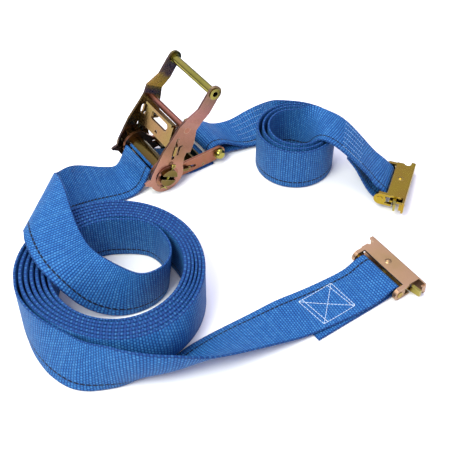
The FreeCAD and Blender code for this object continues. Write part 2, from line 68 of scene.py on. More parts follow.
# coils: centres at the inner end (start) and outer end, radii, start angle in degrees, signed turns;
# the short strap runs through its coil from the outside in
Coil = namedtuple("Coil", "start end r0 r1 a0 turns")
LONG_COIL = Coil((-116.0, -137.0), (-123.0, -136.6), 60.0, 86.5, 70.0, 6.22)
SHORT_COIL = Coil((135.9, -76.2), (139.3, -74.9), 43.5, 28.5, 35.0, -2.9)
COIL_MIDDLE_Z = 25.6
COIL_STEPS = 90             # stations on each turn
COIL_THICK = 3.3            # the long coil's lofty turns lie almost edge to edge
TURN_CLEARANCE = 0.25       # but no nearer than this
COIL_EASE = 0.06            # share of the coil, at each end, over which it swells
DIP_AT, DIP_WIDTH, DIP_DEPTH = 210.0, 42.0, 11.0    # where the long coil's side is pressed in, degrees and mm
CUP_AT, CUP_SPREAD, CUP_DEPTH = -122, 42, 9.0       # bulge of the front layer, along x
CUP_LIMITS = (-30, -190, 40)                        # the front layer lies below these x, y and z
FEED_LENGTH = 443.0         # spindle to coil along the long strap
LEAD_LENGTH = 195.0         # frame bolt loop to the short coil along the short strap

# stretches of strap that lie in soft folds, (from, to) along the strap
LONG_RELAXED = [(62, FEED_LENGTH + 30)]
SHORT_RELAXED = [(88, LEAD_LENGTH + 20), (830, 984), (1022, 1200)]

# track fittings: strap bar (x, z) and radius, the heel that a fitting tilts on, and each one's
# place: (x, y) of its own origin, heading and tilt in degrees
FIT_HEEL = 36.5
FIT_BAR = (-6.5, 6.7)
FIT_BAR_R = 3.2
LONG_FITTING = ((106.0, -255.5), 0.0, 0.0)
SHORT_FITTING = ((192.0, -172.5), -54.0, 7.0)

# sewing
BOX_X, BOX_Y = (19, 57), (-237.5, -271)             # corners of the sewn box, seen from above
BOX_DOUBLED = 3             # second line inside each end of the box
BOX_SEARCH = (200, 370)     # stretch of the front layer, past the coil, that holds the box
ROWS = 6
ROW_PITCH = 7.4
LEAD_SEWN = (104, 146)      # sewn rows along the short strap, beside the frame bolt
RAMP_SEWN = (932, 960)      # and on the ramp up to its fitting
THREAD_LIFT = 0.12          # thread axis above the webbing at a stitch's ends
THREAD_BOW = 0.22           # and how much higher it is between them
ROW_PITCH_ALONG, ROW_THREAD_R = 3.2, 0.25           # stitches of the short strap's sewn rows


# ---- strap routes: (centre, width vector) stations, or edge pairs with the traced edge first ----
def catmull(points, steps):
    """Smooth curve through the points, with so many steps between each two."""
    ends = [points[0] * 2 - points[1]] + points + [points[-1] * 2 - points[-2]]
    out = []
    for i in range(len(points) - 1):
        p0, p1, p2, p3 = ends[i:i + 4]
        for j in range(steps):
            t = j / steps
            out.append((p1 * 2 + (p2 - p0) * t + (p0 * 2 - p1 * 5 + p2 * 4 - p3) * (t * t)
                        + (p1 * 3 - p0 - p2 * 3 + p3) * (t * t * t)) * 0.5)
    out.append(points[-1])
    return out


def through(pairs, steps=8):
    """Centres and width directions through edge pairs, traced edge first."""
    first = [Vector(a) for a, b in pairs]
    second = [Vector(b) for a, b in pairs]
    centres = catmull([(a + b) * 0.5 for a, b in zip(first, second)], steps)
    widths = catmull([b - a for a, b in zip(first, second)], steps)
    return list(zip(centres, widths))


def dip(degrees):
    """How far the long coil's outermost turn is pressed in, in this direction from its middle."""
    away = (degrees - DIP_AT + 180) % 360 - 180
    return DIP_DEPTH * math.exp(-(away / DIP_WIDTH) ** 2)


def coil(shape):
    """Spiral standing on edge; the long coil's outer turns are pressed in where its front layer leans."""
    steps = int(abs(shape.turns) * COIL_STEPS)
    out = []
    for i in range(steps + 1):
        k = i / steps
        degrees = shape.a0 + 360 * shape.turns * k
        r = shape.r0 + (shape.r1 - shape.r0) * k
        if shape is LONG_COIL:
            r -= k * dip(degrees)
        a = math.radians(degrees)
        x, y = [p + (q - p) * k for p, q in zip(shape.start, shape.end)]
        centre = Vector((x + r * math.cos(a), y + r * math.sin(a), COIL_MIDDLE_Z))
        out.append((centre, Vector((0, 0, WEB_W))))
    return out


def coil_thickness(s):
    """Turns of the long coil swell towards their neighbours, less where the side is pressed in."""
    length = math.pi * (LONG_COIL.r0 + LONG_COIL.r1) * LONG_COIL.turns
    k = (s - FEED_LENGTH) / length
    if not 0.0 < k < 1.0:
        return WEB_T
    room = LONG_COIL.r1 - LONG_COIL.r0 - dip(LONG_COIL.a0 + 360 * LONG_COIL.turns * k)
    swell = min(COIL_THICK, room / LONG_COIL.turns - TURN_CLEARANCE) - WEB_T
    return WEB_T + swell * min(1.0, k / COIL_EASE, (1 - k) / COIL_EASE)


def front_cup(c):
    """Outward bulge of the long strap's front layer where it rolls over."""
    if any(value > limit for value, limit in zip(c, CUP_LIMITS)):
        return 0.0
    return CUP_DEPTH * math.exp(-((c[0] - CUP_AT) / CUP_SPREAD) ** 2)


def edge_pair(station):
    """The two edges of a strap at one of its stations."""
    c, w = station
    half = w.normalized() * (WEB_W / 2)
    return (tuple(c - half), tuple(c + half))


def placed(point, place):
    """Point of a track fitting carried to its place: tilted about its heel, turned and moved."""
    (x, y), heading, tilt = place
    heel = Vector((0, FIT_HEEL, 0))
    turned = Matrix.Rotation(math.radians(-tilt), 3, "X") @ (point - heel) + heel
    return Matrix.Rotation(math.radians(heading), 3, "Z") @ turned + Vector((x, y, 0))


def round_bar(top, near, outer, end, place, flip, start=0):
    """Top layer, turn round a fitting's strap bar and under layer as edge pairs.

    The (x, z) points lie in the fitting's own frame; outer is the strap's middle across the fitting,
    and flip (1 or -1) says on which side the traced edge is."""
    r = FIT_BAR_R + STRAP_GAP + WEB_T / 2
    x, z = FIT_BAR
    turn = [math.radians(a) for a in range(start, 181, 30)]
    points = top + [(x + r * math.sin(a), z + r * math.cos(a)) for a in turn] + near + [end]
    half = WEB_W / 2 * flip
    return [[tuple(placed(Vector((px, outer + side * half, pz)), place)) for side in (-1, 1)]
            for px, pz in points]


def long_route():
    """Spindle, diagonal fold, coil from the inside out, front layer and the turn in its fitting."""
    spiral = coil(LONG_COIL)
    feed = [((-13.2, -25, 26.8), (-13.2, 25, 26.8)), ((-17.6, -25, 19), (-17.6, 25, 19)),
            ((-22, -25, 11), (-22, 25, 11)), ((-30, -25, 4.2), (-30, 25, 4.2)),
            ((-45, -24, 1.8), (-47, 24, 13)), ((-81, -23, 10), (-72, 22, 30)),
            ((-117, -33, 26), (-88, 12, 44)), ((-161, -45, 41), (-105, 2, 52)),
            ((-167, -49, 47), (-109, -4, 59)), ((-167, -54, 53.5), (-109, -12, 65)),
            ((-173, -68, 57), (-114, -38, 70)), ((-176, -85, 57), (-123, -70, 65)),
            ((-177, -105, 56.5), (-127, -97, 57)),
            ((-171.5, -129, 49), (-124.5, -114, 52)), ((-155, -141, 20), (-117, -132, 50)),
            ((-130, -153, 2), (-109, -147, 48)), ((-106, -160, 0.8), (-101, -161, 50.6)),
            ((-83, -157.5, 0.7), (-80, -162, 50.6)), ((-67.5, -144.5, 0.7), (-64.5, -148.5, 50.6)),
            ((-61, -124, 0.7), (-60, -125, 50.6)), ((-67, -102, 0.7), (-67, -102, 50.6))]
    feed.append(edge_pair(spiral[0]))
    front = [edge_pair(spiral[-1]), ((-203.8, -111.4, 0.7), (-203.2, -111.6, 50.6)),
             ((-208, -130.5, 0.7), (-204.3, -131, 50.6)), ((-210.8, -151, 0.7), (-199.6, -151.7, 49.3)),
             ((-209.5, -174.3, 0.7), (-189.5, -170.4, 46.3)), ((-202.5, -194.8, 0.7), (-182, -187.5, 45.8)),
             ((-191.7, -207.2, 0.7), (-174, -199.5, 46.6)), ((-177.9, -214.8, 0.7), (-166, -210.5, 49)),
             ((-162.1, -220.5, 0.7), (-157.5, -223, 50.3)), ((-141.7, -221.8, 0.7), (-141.1, -237, 48)),
             ((-122.9, -221.8, 0.7), (-122.6, -247, 43)), ((-107, -220.5, 0.7), (-107.3, -254, 37)),
             ((-91.3, -218.7, 0.7), (-92.9, -258.5, 30.5)), ((-72.1, -218.7, 0.8), (-74.6, -262.4, 24.5)),
             ((-53, -219.5, 1.1), (-56.6, -265.7, 19.7)), ((-27.1, -221.4, 2.2), (-31, -269.8, 13.2)),
             ((0.5, -223.3, 3.7), (-3.5, -273.1, 5.6)), ((30, -227, 3.2), (29, -277, 3.4)),
             ((58, -230, 3.9), (57, -280, 3.9))]
    front += round_bar([(-28, 4.8), (-15, 9.8)], [(-14, 2.8), (-26, 1.3), (-48, 1.2)], -0.5, (-99, 1.2),
                       LONG_FITTING, -1)
    return through(feed)[:-1] + spiral[:-1] + through(front)


def short_route():
    """Under layer, turn round the frame bolt, coil from the outside in, ramp and the turn in its fitting."""
    spiral = coil(SHORT_COIL)
    r = SLEEVE_R + STRAP_GAP + WEB_T / 2
    lead = [((108, -31, 3.2), (108, 19, 1.3)), ((96, -29.5, 5.4), (96, 20.3, 2.2)),
            ((84, -26, 5.2), (84, 24, 3.6))]
    for a in range(-90, -271, -30):
        px = BOLT.x + r * math.cos(math.radians(a))
        pz = BOLT.z + r * math.sin(math.radians(a))
        lead.append(((px, -25, pz), (px, 25, pz)))
    lead += [((82, -26, 18), (82, 24, 15.5)), ((96, -29.5, 10.4), (96, 20.3, 7.4)),
             ((109, -33, 4.5), (116, 15, 7)), ((120, -33.5, 2.4), (131, 14, 11)),
             ((129, -35, 2.4), (147, 5, 21.5)), ((140, -33.3, 1.8), (147.5, -25, 49)),
             ((149, -34, 1.2), (149.5, -32.4, 51)), ((157.5, -37.5, 0.7), (158, -37, 50.5)),
             edge_pair(spiral[0])]
    end = [edge_pair(spiral[-1]), ((154, -55, 1.2), (155, -55, 51.2)), ((152, -73, 9), (162, -61, 56)),
           ((148, -89, 21), (168.5, -63, 58)), ((143, -100, 41), (174.5, -70, 56)),
           ((143, -111, 53.5), (178.5, -78, 54)), ((148, -127, 54), (184, -93, 53.5)),
           ((158, -144, 42), (192, -108, 43)), ((166, -164, 29), (202, -131, 24))]
    end += round_bar([(-15.5, 18.5)], [], 1.0, (-14, 3.0), SHORT_FITTING, 1, 30)
    end += [((163.2, -167.7, 14.5), (201.6, -135.7, 9)), ((162.4, -158.5, 21), (198.4, -125.5, 17.5)),
            ((160.1, -149.8, 32), (195.1, -114.8, 30)), ((155.7, -140.2, 41.5), (189.7, -104.2, 42.5))]
    return through(lead)[:-1] + spiral[:-1] + through(end)


def tail_route():
    """The long strap's loose end, past the spindle."""
    pairs = [((11.2, -25, 13.4), (11.2, 25, 13.4)), ((15.8, -25, 8.4), (15.8, 25, 8.4)),
             ((21.5, -25.4, 4.2), (21.5, 24.6, 4.2)), ((29, -27.5, 2.2), (29, 22.5, 2.2)),
             ((40, -29.3, 1.4), (40, 20.7, 1.4)), ((63, -29.7, 1.2), (63, 20.3, 1.2))]
    return through(pairs)


# ---- strap meshes ----
class Strap:
    """Even stations along a route, with a frame at each.

    s is the distance along, c the centre, w the width vector per mm, t the direction along and n the
    outward face. lean is how far the width slants along the strap, cup the bulge of the middle."""

    def __init__(self, route, cup=None, relaxed=(), thick=None):
        centres = np.array([list(c) for c, w in route])
        widths = np.array([list(w) for c, w in route])
        along = np.concatenate([[0], np.cumsum(np.linalg.norm(np.diff(centres, axis=0), axis=1))])
        self.length = float(along[-1])
        count = max(2, int(round(self.length / STEP)) + 1)
        self.s = np.linspace(0, self.length, count)
        self.c = np.stack([np.interp(self.s, along, centres[:, i]) for i in range(3)], 1)
        w = np.stack([np.interp(self.s, along, widths[:, i]) for i in range(3)], 1)
        ease = np.zeros(count)
        for start, end in relaxed:
            ramp = np.minimum((self.s - start) / EASE_IN, (end - self.s) / EASE_IN)
            ease = np.maximum(ease, np.clip(ramp, 0, 1))
        for turn in range(RELAX_PASSES):
            share = np.maximum(ease, 1.0 if turn < 2 else 0.0)[1:-1, None]
            for line in (self.c, w):
                line[1:-1] += share * (0.25 * line[:-2] - 0.5 * line[1:-1] + 0.25 * line[2:])
        t = np.gradient(self.c, axis=0)
        t /= np.linalg.norm(t, axis=1)[:, None]
        self.w = w / WEB_W
        self.n = np.cross(t, w)
        self.n /= np.linalg.norm(self.n, axis=1)[:, None]
        self.t = t
        self.lean = (self.w * t).sum(1)
        for _ in range(LEAN_PASSES):
            self.lean[1:-1] += 0.25 * self.lean[:-2] - 0.5 * self.lean[1:-1] + 0.25 * self.lean[2:]
        self.cup = np.zeros(count) if cup is None else np.array([cup(c) for c in self.c])
        self.thick = np.full(count, WEB_T) if thick is None else np.array([thick(s) for s in self.s])

    def at(self, s, v, lift=0.0):
        """Point at s mm along and v mm from the middle, lifted off the middle surface, in metres."""
        c = np.array([np.interp(s, self.s, self.c[:, i]) for i in range(3)])
        w = np.array([np.interp(s, self.s, self.w[:, i]) for i in range(3)])
        n = np.array([np.interp(s, self.s, self.n[:, i]) for i in range(3)])
        bulge = np.interp(s, self.s, self.cup) * (1 - (v / (WEB_W / 2)) ** 2)
        p = c + w * v + n / np.linalg.norm(n) * (lift + bulge)
        return (Vector(p) + SHIFT) * MM


def section():
    """Closed outline with round edges: across in mm, up as a share of half the thickness."""
    turn = WEB_T * 0.4
    half = WEB_W / 2 - turn
    top = [(v, 1.0) for v in np.linspace(-half, half, 19)]
    edge = [(half + turn * math.sin(a), math.cos(a)) for a in (0.6, 1.1, 1.57, 2.04, 2.54)]
    return top + edge + [(-v, -z) for v, z in top] + [(-v, -z) for v, z in edge]


def strap_mesh(name, strap, material):
    """Closed mesh of a strap; its weave attribute holds (along, across, up) in mm."""
    ring = section()
    across = np.array([p[0] for p in ring])
    up = np.array([p[1] for p in ring])[None, :] * strap.thick[:, None] / 2
    rows = len(strap.s)
    k = len(ring)
    bulge = strap.cup[:, None] * (1 - (across[None, :] / (WEB_W / 2)) ** 2)
    points = (strap.c[:, None, :] + strap.w[:, None, :] * across[None, :, None]
              + strap.n[:, None, :] * (up + bulge)[:, :, None])
    points = (points + np.array(SHIFT)) * MM
    faces = []
    for i in range(rows - 1):
        for j in range(k):
            a, b = i * k + j, i * k + (j + 1) % k
            faces.append((a, b, b + k, a + k))
    faces.append(tuple(range(k)))
    faces.append(tuple(range((rows - 1) * k + k - 1, (rows - 1) * k - 1, -1)))
    mesh = bpy.data.meshes.new(name)
    mesh.from_pydata(points.reshape(-1, 3).tolist(), [], faces)
    mesh.update()
    weave = mesh.attributes.new("weave", "FLOAT_VECTOR", "POINT")
    data = np.zeros((rows, k, 3), np.float32)
    data[:, :, 0] = strap.s[:, None] + strap.lean[:, None] * across[None, :]
    data[:, :, 1] = across[None, :]
    data[:, :, 2] = up
    weave.data.foreach_set("vector", data.reshape(-1))
    obj = bpy.data.objects.new(name, mesh)
    bpy.context.scene.collection.objects.link(obj)
    work = bmesh.new()
    work.from_mesh(mesh)
    bmesh.ops.recalc_face_normals(work, faces=work.faces[:])
    work.to_mesh(mesh)
    work.free()
    for face in mesh.polygons:
        face.use_smooth = len(face.vertices) == 4
    mesh.materials.append(material)
    return obj


# ---- materials ----
class Nodes:
    """Short way to write a node tree."""

    def __init__(self, name):
        """Start a material that has only its Principled shader."""
        self.material = bpy.data.materials.new(name)
        self.material.use_nodes = True
        self.tree = self.material.node_tree
        self.shader = self.tree.nodes["Principled BSDF"]

    def add(self, kind, **values):
        node = self.tree.nodes.new(kind)
        for key, value in values.items():
            setattr(node, key, value)
        return node

    def link(self, out, into):
        self.tree.links.new(out, into)

    def put(self, value, socket):
        if isinstance(value, (int, float)):
            socket.default_value = value
        else:
            self.link(value, socket)

    def math(self, operation, a, b=0.0, c=0.0):
        node = self.add("ShaderNodeMath", operation=operation)
        for value, socket in zip((a, b, c), node.inputs):
            self.put(value, socket)
        return node.outputs[0]

    def noise(self, vector, scale, detail=2.0, rough=0.5):
        node = self.add("ShaderNodeTexNoise")
        node.inputs["Scale"].default_value = scale
        node.inputs["Detail"].default_value = detail
        node.inputs["Roughness"].default_value = rough
        self.link(vector, node.inputs["Vector"])
        return node.outputs["Fac"]

    def ramp(self, value, stops):
        node = self.add("ShaderNodeValToRGB")
        elements = node.color_ramp.elements
        while len(elements) < len(stops):
            elements.new(0.5)
        for element, (place, colour) in zip(elements, stops):
            element.position = place
            element.color = (*colour, 1)
        self.put(value, node.inputs[0])
        return node.outputs[0]

    def mix(self, factor, a, b, kind="MIX"):
        node = self.add("ShaderNodeMix", data_type="RGBA", blend_type=kind)
        self.put(factor, node.inputs[0])
        for value, socket in ((a, node.inputs[6]), (b, node.inputs[7])):
            if isinstance(value, tuple):
                socket.default_value = (*value, 1)
            else:
                self.link(value, socket)
        return node.outputs[2]

    def bump(self, height, strength, distance, normal=None):
        node = self.add("ShaderNodeBump")
        node.inputs["Strength"].default_value = strength
        node.inputs["Distance"].default_value = distance
        self.link(height, node.inputs["Height"])
        if normal is not None:
            self.link(normal, node.inputs["Normal"])
        return node.outputs[0]


# webbing colours: the crown colour is a painted highlight on the yarn crowns, the gap colour is painted shade
# between the yarns and along the strap's edges, the pale colour gives pale pick rows and painted glints
BLUE_CROWN_HIGHLIGHT = (0.028, 0.160, 0.400)
BLUE_BODY = (0.008, 0.064, 0.230)
BLUE_PAINTED_SHADE = (0.004, 0.018, 0.105)
BLUE_PALE_ROWS_AND_GLINTS = (0.080, 0.270, 0.500)
TRACER_DARK = (0.004, 0.007, 0.016)


def webbing():
    """Woven polyester: ribs across the strap, staggered yarn crowns on them and one dashed tracer line."""
    m = Nodes("blue_webbing")
    web = m.add("ShaderNodeAttribute", attribute_name="weave")
    parts = m.add("ShaderNodeSeparateXYZ")
    m.link(web.outputs["Vector"], parts.inputs[0])
    along, across = parts.outputs[0], parts.outputs[1]
    wobble = m.noise(web.outputs["Vector"], 0.09, 2.0)
    along_w = m.math("MULTIPLY_ADD", wobble, 1.1, along)
    rib = m.math("FLOOR", m.math("DIVIDE", along_w, RIB))
    odd = m.math("MODULO", m.math("ABSOLUTE", rib), 2.0)
    shifted = m.math("MULTIPLY_ADD", odd, COLUMN / 2, across)
    wave_s = m.math("ABSOLUTE", m.math("SINE", m.math("MULTIPLY", along_w, math.pi / RIB)))
    wave_v = m.math("ABSOLUTE", m.math("SINE", m.math("MULTIPLY", shifted, math.pi / COLUMN)))
    crown = m.math("MULTIPLY", m.math("POWER", wave_s, 0.7), m.math("MULTIPLY_ADD", wave_v, 0.6, 0.4))
    cell = m.add("ShaderNodeCombineXYZ")
    m.link(rib, cell.inputs[0])
    m.link(m.math("FLOOR", m.math("DIVIDE", shifted, COLUMN)), cell.inputs[1])
    dice = m.add("ShaderNodeTexWhiteNoise", noise_dimensions="3D")
    m.link(cell.outputs[0], dice.inputs["Vector"])
    chance = dice.outputs["Value"]
    grain_map = m.add("ShaderNodeMapping")
    grain_map.inputs["Scale"].default_value = (0.35, 3.2, 1.0)
    m.link(web.outputs["Vector"], grain_map.inputs["Vector"])
    grain = m.noise(grain_map.outputs[0], 1.6, 2.0)
    patches = m.noise(web.outputs["Vector"], 0.035, 3.0, 0.6)
    picks = m.add("ShaderNodeTexNoise", noise_dimensions="1D")
    picks.inputs["Scale"].default_value = 0.22
    picks.inputs["Detail"].default_value = 3.0
    m.link(along, picks.inputs["W"])
    tone = m.math("MULTIPLY_ADD", grain, 0.20, m.math("MULTIPLY_ADD", chance, 0.16, crown))
    # painted highlight on the yarn crowns and painted shade in the gaps between them, over random tone per
    # cell and grain
    colour = m.ramp(tone, [(0.15, BLUE_PAINTED_SHADE), (0.62, BLUE_BODY), (1.0, BLUE_CROWN_HIGHLIGHT)])
    colour = m.mix(m.math("MULTIPLY", patches, 0.35), colour, BLUE_BODY)
    # painted glints: pale spots on the tops of a share of the yarn crowns; the pale pick rows are the weave's
    # own tone
    peak = m.math("GREATER_THAN", m.math("MULTIPLY", wave_s, wave_v), 0.72)
    speck = m.math("MULTIPLY", peak, m.math("GREATER_THAN", chance, 0.70))
    pale = m.math("MULTIPLY_ADD", m.math("GREATER_THAN", picks.outputs["Fac"], 0.56), 0.10,
                  m.math("MULTIPLY", speck, 0.45))
    colour = m.mix(pale, colour, BLUE_PALE_ROWS_AND_GLINTS)
    # painted shade along both edges of the strap, darker still at the rims of its faces, standing in for the
    # shade between the coil's turns
    selvedge = m.math("GREATER_THAN", m.math("ABSOLUTE", across), WEB_W / 2 - 0.95)
    rim = m.math("GREATER_THAN", m.math("ABSOLUTE", parts.outputs[2]), WEB_T * 0.40)
    shade = m.math("MULTIPLY", selvedge, m.math("MULTIPLY_ADD", rim, 0.35, 0.45))
    colour = m.mix(shade, colour, BLUE_PAINTED_SHADE)
    centre = m.math("ABSOLUTE", m.math("ADD", across, WEB_W / 2 - TRACER))
    line = m.math("LESS_THAN", centre, 0.85)
    dash = m.math("LESS_THAN", m.math("MODULO", along_w, 5.0), 4.1)
    traced = m.math("MULTIPLY", line, dash)
    colour = m.mix(m.math("MULTIPLY", traced, 0.95), colour, TRACER_DARK)
    m.link(colour, m.shader.inputs["Base Color"])
    m.link(m.math("MULTIPLY_ADD", crown, -0.14, 0.66), m.shader.inputs["Roughness"])
    m.shader.inputs["Specular IOR Level"].default_value = 0.16
    m.shader.inputs["Sheen Weight"].default_value = 0.03
    m.shader.inputs["Sheen Roughness"].default_value = 0.4
    m.shader.inputs["Sheen Tint"].default_value = (0.35, 0.62, 1.0, 1)
    height = m.math("MULTIPLY_ADD", grain, 0.25, crown)
    m.link(m.bump(height, 0.8, 0.0008), m.shader.inputs["Normal"])
    return m.material


# colour bands along a handle plate, from the spindle (0) to the grip (1), and their share in it: the
# plating's own colour mixed with painted shade and painted reflection that follow the plate's bent segments
BAND_SHARE = 0.75
FAR_BANDS = [(0.0, (0.05, 0.035, 0.055)), (0.17, (0.08, 0.05, 0.055)), (0.25, (0.19, 0.115, 0.045)),
             (0.50, (0.21, 0.13, 0.04)), (0.58, (0.12, 0.065, 0.08)), (0.63, (0.34, 0.20, 0.03)),
             (0.75, (0.38, 0.23, 0.035)), (0.79, (0.16, 0.09, 0.085)), (0.93, (0.15, 0.10, 0.09)),
             (1.0, (0.12, 0.12, 0.035))]
NEAR_BANDS = [(0.0, (0.36, 0.18, 0.13)), (0.15, (0.33, 0.16, 0.10)), (0.34, (0.17, 0.085, 0.05)),
              (0.50, (0.25, 0.12, 0.08)), (0.70, (0.33, 0.15, 0.13)), (0.88, (0.27, 0.15, 0.11)),
              (1.0, (0.26, 0.20, 0.10))]


SPECK_BROWN = (0.14, 0.11, 0.06)
PALE_EDGE = (0.62, 0.50, 0.34)
EDGE_RADIUS = 0.6           # how near an edge the plating is paler, mm


def plating(name, stops, rough, scale=34.0, streak=(1.0, 1.0, 1.0), bands=None):
    """Yellow zinc plating: drifting dichromate colour, dark specks, fine pitting and paler edges."""
    m = Nodes(name)
    place = m.add("ShaderNodeTexCoord")
    stretch = m.add("ShaderNodeMapping")
    stretch.inputs["Scale"].default_value = streak
    m.link(place.outputs["Object"], stretch.inputs["Vector"])
    drift = m.noise(stretch.outputs[0], scale, 3.0, 0.55)
    cloud = m.noise(place.outputs["Object"], scale * 0.45, 2.0, 0.5)
    mixed = m.math("MULTIPLY_ADD", cloud, 0.5, m.math("MULTIPLY", drift, 0.5))
    colour = m.ramp(mixed, stops)
    if bands:
        spread = m.add("ShaderNodeSeparateXYZ")
        m.link(place.outputs["Object"], spread.inputs[0])
        east = m.math("SUBTRACT", spread.outputs[0], SHIFT.x * MM)
        east = m.math("MULTIPLY", east, HANDLE_DIRECTION.x)
        up = m.math("SUBTRACT", spread.outputs[2], SPINDLE_AXIS.z * MM)
        up = m.math("MULTIPLY", up, HANDLE_DIRECTION.z)
        reach = m.math("DIVIDE", m.math("ADD", east, up), HANDLE_LENGTH * MM)
        reach = m.math("MULTIPLY_ADD", m.math("SUBTRACT", drift, 0.5), 0.22, reach)
        # bands along the handle: plating colour with painted shade and reflection of the plate's bent
        # segments
        colour = m.mix(BAND_SHARE, colour, m.ramp(reach, bands))
    specks = m.noise(place.outputs["Object"], 900.0, 2.0, 0.6)
    worn = m.math("MULTIPLY", m.math("GREATER_THAN", specks, 0.66), 0.16)
    colour = m.mix(worn, colour, SPECK_BROWN)
    # paler edges: where a rounded normal turns away from the face's own
    geometry = m.add("ShaderNodeNewGeometry")
    rounded = m.add("ShaderNodeBevel", samples=6)
    rounded.inputs["Radius"].default_value = EDGE_RADIUS * MM
    along_face = m.add("ShaderNodeVectorMath", operation="DOT_PRODUCT")
    m.link(rounded.outputs[0], along_face.inputs[0])
    m.link(geometry.outputs["Normal"], along_face.inputs[1])
    edge = m.math("MULTIPLY", m.math("LESS_THAN", along_face.outputs["Value"], 0.97), 0.35)
    colour = m.mix(edge, colour, PALE_EDGE)
    m.link(colour, m.shader.inputs["Base Color"])
    m.shader.inputs["Metallic"].default_value = 1.0
    m.link(m.math("MULTIPLY_ADD", specks, 0.24, rough - 0.12), m.shader.inputs["Roughness"])
    m.shader.inputs["Specular IOR Level"].default_value = 0.5
    m.link(m.bump(m.math("MULTIPLY_ADD", specks, 0.6, drift), 0.10, 0.0006), m.shader.inputs["Normal"])
    return m.material


def thread_material(name, dark, light):
    """Twisted sewing thread."""
    m = Nodes(name)
    place = m.add("ShaderNodeTexCoord")
    twist = m.noise(place.outputs["Object"], 2600.0, 2.0)
    colour = m.ramp(twist, [(0.3, dark), (0.7, light)])
    m.link(colour, m.shader.inputs["Base Color"])
    m.shader.inputs["Roughness"].default_value = 0.55
    m.link(m.bump(twist, 0.3, 0.0002), m.shader.inputs["Normal"])
    return m.material


def floor_material():
    m = Nodes("pale_floor")
    place = m.add("ShaderNodeTexCoord")
    patches = m.noise(place.outputs["Object"], 3.0)
    pale = m.ramp(patches, [(0.0, (0.93, 0.93, 0.93)), (1.0, (0.95, 0.95, 0.95))])
    m.link(pale, m.shader.inputs["Base Color"])
    m.shader.inputs["Roughness"].default_value = 0.9
    m.shader.inputs["Specular IOR Level"].default_value = 0.1
    return m.material


# plating colours, as ramps over the drifting noise
PINK = [(0.32, (0.140, 0.093, 0.031)), (0.44, (0.259, 0.112, 0.059)), (0.55, (0.315, 0.128, 0.092)),
        (0.68, (0.238, 0.122, 0.039))]
COPPER = [(0.32, (0.156, 0.085, 0.025)), (0.46, (0.252, 0.094, 0.043)), (0.57, (0.276, 0.108, 0.065)),
          (0.70, (0.192, 0.097, 0.025))]
PALE_PINK = [(0.30, (0.296, 0.200, 0.079)), (0.48, (0.370, 0.229, 0.125)), (0.62, (0.385, 0.237, 0.145)),
             (0.75, (0.311, 0.222, 0.086))]
DARK_GOLD = [(0.34, (0.090, 0.064, 0.019)), (0.44, (0.260, 0.147, 0.023)), (0.50, (0.380, 0.235, 0.026)),
             (0.545, (0.140, 0.073, 0.055)), (0.60, (0.220, 0.118, 0.039)), (0.68, (0.160, 0.098, 0.065))]
OLIVE = [(0.30, (0.055, 0.044, 0.012)), (0.50, (0.135, 0.099, 0.024)), (0.70, (0.165, 0.088, 0.031))]
GREEN_GOLD = [(0.30, (0.160, 0.156, 0.021)), (0.50, (0.304, 0.279, 0.054)), (0.70, (0.336, 0.262, 0.060))]
YELLOW = [(0.30, (0.216, 0.168, 0.012)), (0.50, (0.352, 0.252, 0.020)), (0.72, (0.320, 0.185, 0.028))]
PAWL_GOLD = [(0.32, (0.12, 0.085, 0.022)), (0.50, (0.25, 0.185, 0.045)), (0.70, (0.28, 0.155, 0.06))]
STEEL = [(0.30, (0.16, 0.14, 0.12)), (0.70, (0.36, 0.34, 0.30))]


# ---- pieces ----
def dress(node, material, bevel=0.0):
    """Give a CAD node its material and, where bevel (mm) is set, rounded edges."""
    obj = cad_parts[node]
    obj.data.materials.clear()
    obj.data.materials.append(material)
    if bevel:
        modifier = obj.modifiers.new("edge", "BEVEL")
        modifier.width = bevel * MM
        modifier.segments = 2
        modifier.limit_method = "ANGLE"
        modifier.angle_limit = math.radians(50)
        modifier.harden_normals = False


def stitches(name, strap, runs, material, side, pitch=3.1, radius=0.32):
    """Thread stitches lying on one side of the strap: runs of (s, v) points in mm."""
    work = bmesh.new()
    lift = side * (WEB_T / 2 + THREAD_LIFT)
    bow = side * THREAD_BOW
    for run in runs:
        for (s0, v0), (s1, v1) in zip(run[:-1], run[1:]):
            length = math.hypot(s1 - s0, v1 - v0)
            count = max(1, int(length / pitch))
            for i in range(count):
                a = (i + 0.10) / count
                b = (i + 0.90) / count
                shape = ((a, lift), ((2 * a + b) / 3, lift + bow), ((a + 2 * b) / 3, lift + bow), (b, lift))
                points = [strap.at(s0 + (s1 - s0) * f, v0 + (v1 - v0) * f, up) for f, up in shape]
                add_tube(work, points, radius * MM)
    mesh = bpy.data.meshes.new(name)
    work.to_mesh(mesh)
    work.free()
    for face in mesh.polygons:
        face.use_smooth = True
    mesh.materials.append(material)
    obj = bpy.data.objects.new(name, mesh)
    bpy.context.scene.collection.objects.link(obj)
    return obj


def add_tube(work, points, radius, sides=6):
    """Closed tube through a few points, with pointed ends."""
    axis = (points[-1] - points[0]).normalized()
    other = axis.orthogonal().normalized()
    third = axis.cross(other)
    angles = [2 * math.pi * k / sides for k in range(sides)]
    spokes = [other * math.cos(a) + third * math.sin(a) for a in angles]
    rings = []
    for i, p in enumerate(points):
        r = radius * (0.75 if i in (0, len(points) - 1) else 1.0)
        rings.append([work.verts.new(p + spoke * r) for spoke in spokes])
    for a, b in zip(rings[:-1], rings[1:]):
        for k in range(sides):
            work.faces.new((a[k], a[(k + 1) % sides], b[(k + 1) % sides], b[k]))
    for ring, p, sign in ((rings[0], points[0], -1), (rings[-1], points[-1], 1)):
        tip = work.verts.new(p + axis * (sign * radius * 0.7))
        for k in range(sides):
            pair = (ring[(k + 1) % sides], ring[k]) if sign < 0 else (ring[k], ring[(k + 1) % sides])
            work.faces.new((pair[0], pair[1], tip))


